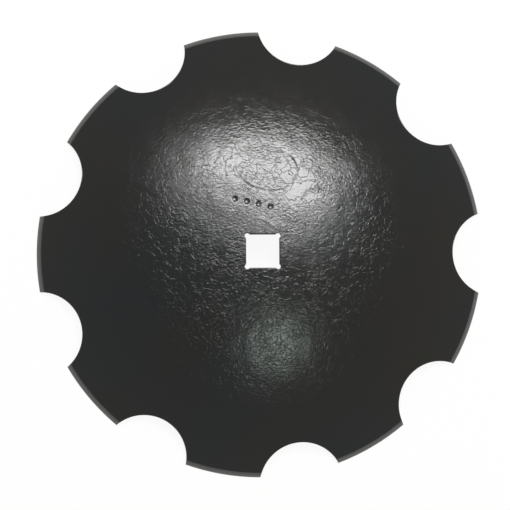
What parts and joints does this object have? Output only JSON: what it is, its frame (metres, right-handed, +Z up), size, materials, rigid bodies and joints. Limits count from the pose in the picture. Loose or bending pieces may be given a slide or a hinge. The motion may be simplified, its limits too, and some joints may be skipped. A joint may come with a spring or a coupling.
{
  "type": "harrow disc blade",
  "caption": "Dished round steel harrow disc blade with scalloped notches in its bevelled cutting edge and a square axle hole with corner reliefs, lying dome up.",
  "frame": {"origin": "on the axle hole's axis, where it meets the plane of the cutting edge that the blade lies on; the bounding box's centre is 2.2 mm from it along -X, because an odd number of lands never face each other", "axes": "+Z up along the axle hole's axis, towards the domed side; +X through the middle of a notch; X and Y square to the hole's flats"},
  "size_m": [0.5555, 0.56, 0.0641],
  "materials": {
    "black_paint": "satin"
  },
  "bodies": {
    "root": {"disc_blade": "black_paint"}
  },
  "joints": []
}
